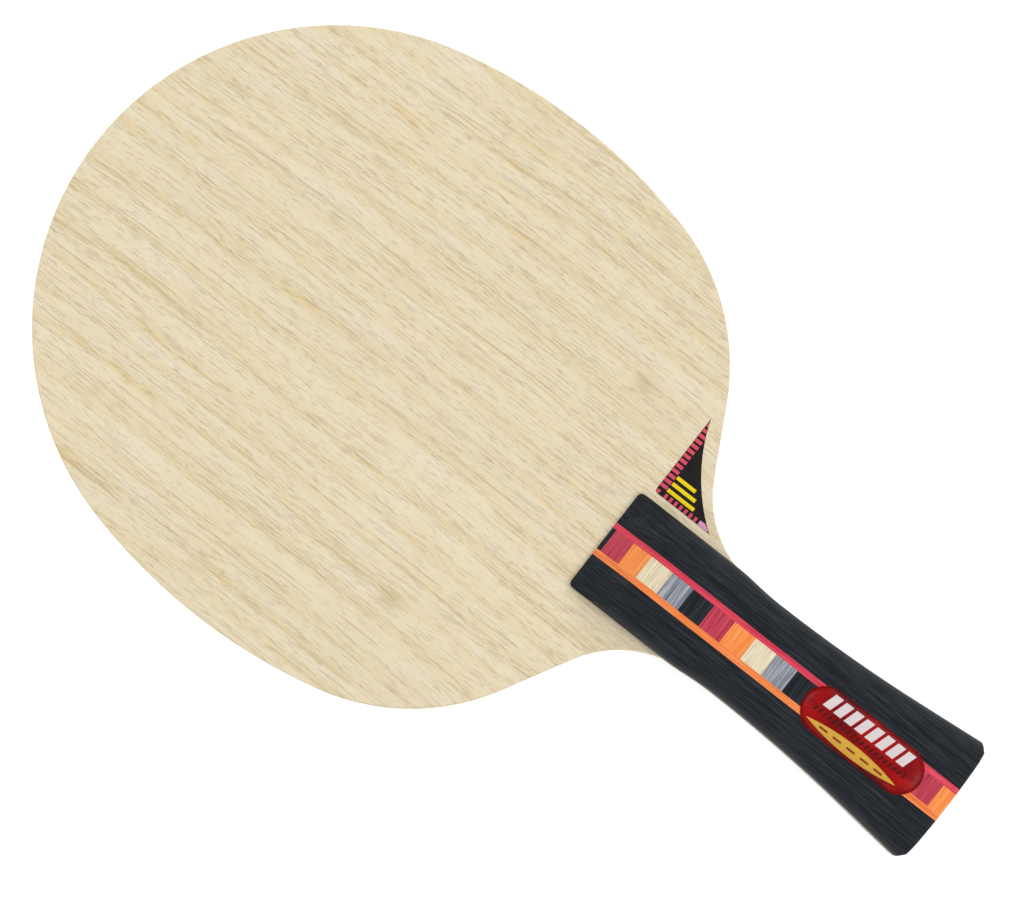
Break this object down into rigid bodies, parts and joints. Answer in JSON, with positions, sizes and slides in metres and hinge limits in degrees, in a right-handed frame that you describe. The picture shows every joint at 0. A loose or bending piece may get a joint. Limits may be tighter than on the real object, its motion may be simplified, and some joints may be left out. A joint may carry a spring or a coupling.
{
  "type": "table tennis paddle",
  "caption": "Bare wooden table tennis paddle: thin oval plywood blade without rubbers, flared handle glued on both sides with a coloured inlay row.",
  "frame": {"origin": "below the middle of the paddle's outline, level with the flat of the back handle scale", "axes": "+X across the blade to the side of the shoulder film, +Y along the handle to the tip of the head, +Z out of the front face"},
  "size_m": [0.15, 0.2586, 0.0245],
  "materials": {
    "face_veneer": "pale open-pored veneer, sanded, unvarnished",
    "inner_veneer": "cut edge of a light veneer",
    "core_wood": "cut edge of a light core wood",
    "carbon_cloth": "thin carbon cloth in resin, satin",
    "black_wood": "wood dyed through, fine straight grain, satin",
    "red_wood": "wood dyed crimson, grain across the handle",
    "orange_wood": "wood dyed orange, grain across the handle",
    "cream_wood": "undyed pale wood, grain across the handle",
    "grey_wood": "wood dyed grey, grain across the handle",
    "red_strip_wood": "thin strip dyed rose red",
    "orange_strip_wood": "thin strip dyed orange",
    "printed_film": "printed film, satin, black with red dashes",
    "label_print": "printed label base, red with plain bars",
    "label_resin": "clear domed resin, very glossy"
  },
  "bodies": {
    "root": {"back_block_01_black": "black_wood", "back_block_02_red": "red_wood", "back_block_03_orange": "orange_wood", "back_block_04_cream": "cream_wood", "back_block_05_grey": "grey_wood", "back_block_06_black": "black_wood", "back_block_07_red": "red_wood", "back_block_08_orange": "orange_wood", "back_block_09_cream": "cream_wood", "back_block_10_grey": "grey_wood", "back_block_11_black": "black_wood", "back_block_12_red": "red_wood", "back_block_13_orange": "orange_wood", "back_block_14_cream": "cream_wood", "back_block_15_grey": "grey_wood", "back_block_16_black": "black_wood", "back_block_17_red": "red_wood", "back_block_18_orange": "orange_wood", "back_carbon_ply": "carbon_cloth", "back_face_ply": "face_veneer", "back_inner_ply": "inner_veneer", "back_left_side": "black_wood", "back_orange_strip": "orange_strip_wood", "back_red_strip": "red_strip_wood", "back_right_side": "black_wood", "core_ply": "core_wood", "front_block_01_black": "black_wood", "front_block_02_red": "red_wood", "front_block_03_orange": "orange_wood", "front_block_04_cream": "cream_wood", "front_block_05_grey": "grey_wood", "front_block_06_black": "black_wood", "front_block_07_red": "red_wood", "front_block_08_orange": "orange_wood", "front_block_09_cream": "cream_wood", "front_block_10_grey": "grey_wood", "front_block_11_black": "black_wood", "front_block_12_red": "red_wood", "front_block_13_orange": "orange_wood", "front_block_14_cream": "cream_wood", "front_block_15_grey": "grey_wood", "front_block_16_black": "black_wood", "front_block_17_red": "red_wood", "front_block_18_orange": "orange_wood", "front_carbon_ply": "carbon_cloth", "front_face_ply": "face_veneer", "front_inner_ply": "inner_veneer", "front_left_side": "black_wood", "front_orange_strip": "orange_strip_wood", "front_red_strip": "red_strip_wood", "front_right_side": "black_wood", "label_base": "label_print", "label_dome": "label_resin", "shoulder_film": "printed_film"}
  },
  "joints": []
}
